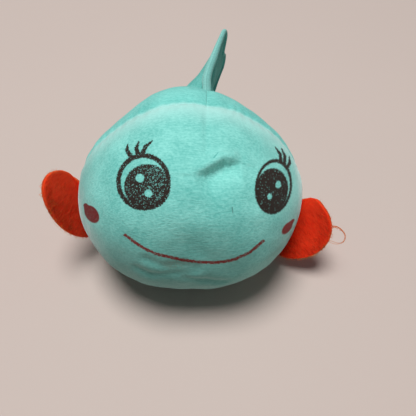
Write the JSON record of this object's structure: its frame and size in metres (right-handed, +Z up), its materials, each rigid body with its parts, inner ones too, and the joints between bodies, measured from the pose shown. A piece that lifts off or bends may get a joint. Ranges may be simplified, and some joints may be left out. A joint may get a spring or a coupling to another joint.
{
  "type": "plush fish",
  "caption": "Round stuffed plush fish with felt side fins that flap, a two-lobed plush tail that wags and a printed smiling face.",
  "frame": {"origin": "middle of the flat base under the body", "axes": "+Z up, the face looks along -Y, the tail points along +Y, +X runs to the fin on the viewer's right"},
  "size_m": [0.1657, 0.163, 0.1051],
  "materials": {
    "plush": "matte",
    "felt": "matte",
    "fibre_fill": "matte",
    "thread": "matte"
  },
  "bodies": {
    "body": {"face_panel": "plush", "back_panel_left": "plush", "back_panel_right": "plush", "stuffing": "fibre_fill", "face_seam_thread": "thread", "back_seam_thread": "thread", "closing_thread": "thread", "belly_seam_thread": "thread", "dart_thread": "thread", "fin_left_root": "felt", "fin_right_root": "felt", "tail_root": "plush"},
    "fin_left": {"fin_left": "felt"},
    "fin_right": {"fin_right": "felt"},
    "tail": {"tail_panel_left": "plush", "tail_panel_right": "plush", "tail_filling": "fibre_fill", "tail_edge_thread": "thread"}
  },
  "joints": [
    {"name": "fin_left_flap", "type": "hinge", "parent": "body", "child": "fin_left", "pos_m": [-0.06713, -0.00342, 0.03547], "axis": [-0.219, 0.301, 0.9281], "range_deg": [-126, 6], "stiffness_Nm_per_rad": 0.002},
    {"name": "fin_right_flap", "type": "hinge", "parent": "body", "child": "fin_right", "pos_m": [0.06155, -0.0077, 0.02231], "axis": [0.5252, 0.2631, 0.8093], "range_deg": [-16, 112], "stiffness_Nm_per_rad": 0.002},
    {"name": "tail_wag", "type": "hinge", "parent": "body", "child": "tail", "pos_m": [0.0095, 0.06207, 0.07155], "axis": [0, -0.454, 0.891], "range_deg": [-60, 60], "stiffness_Nm_per_rad": 0.01}
  ]
}
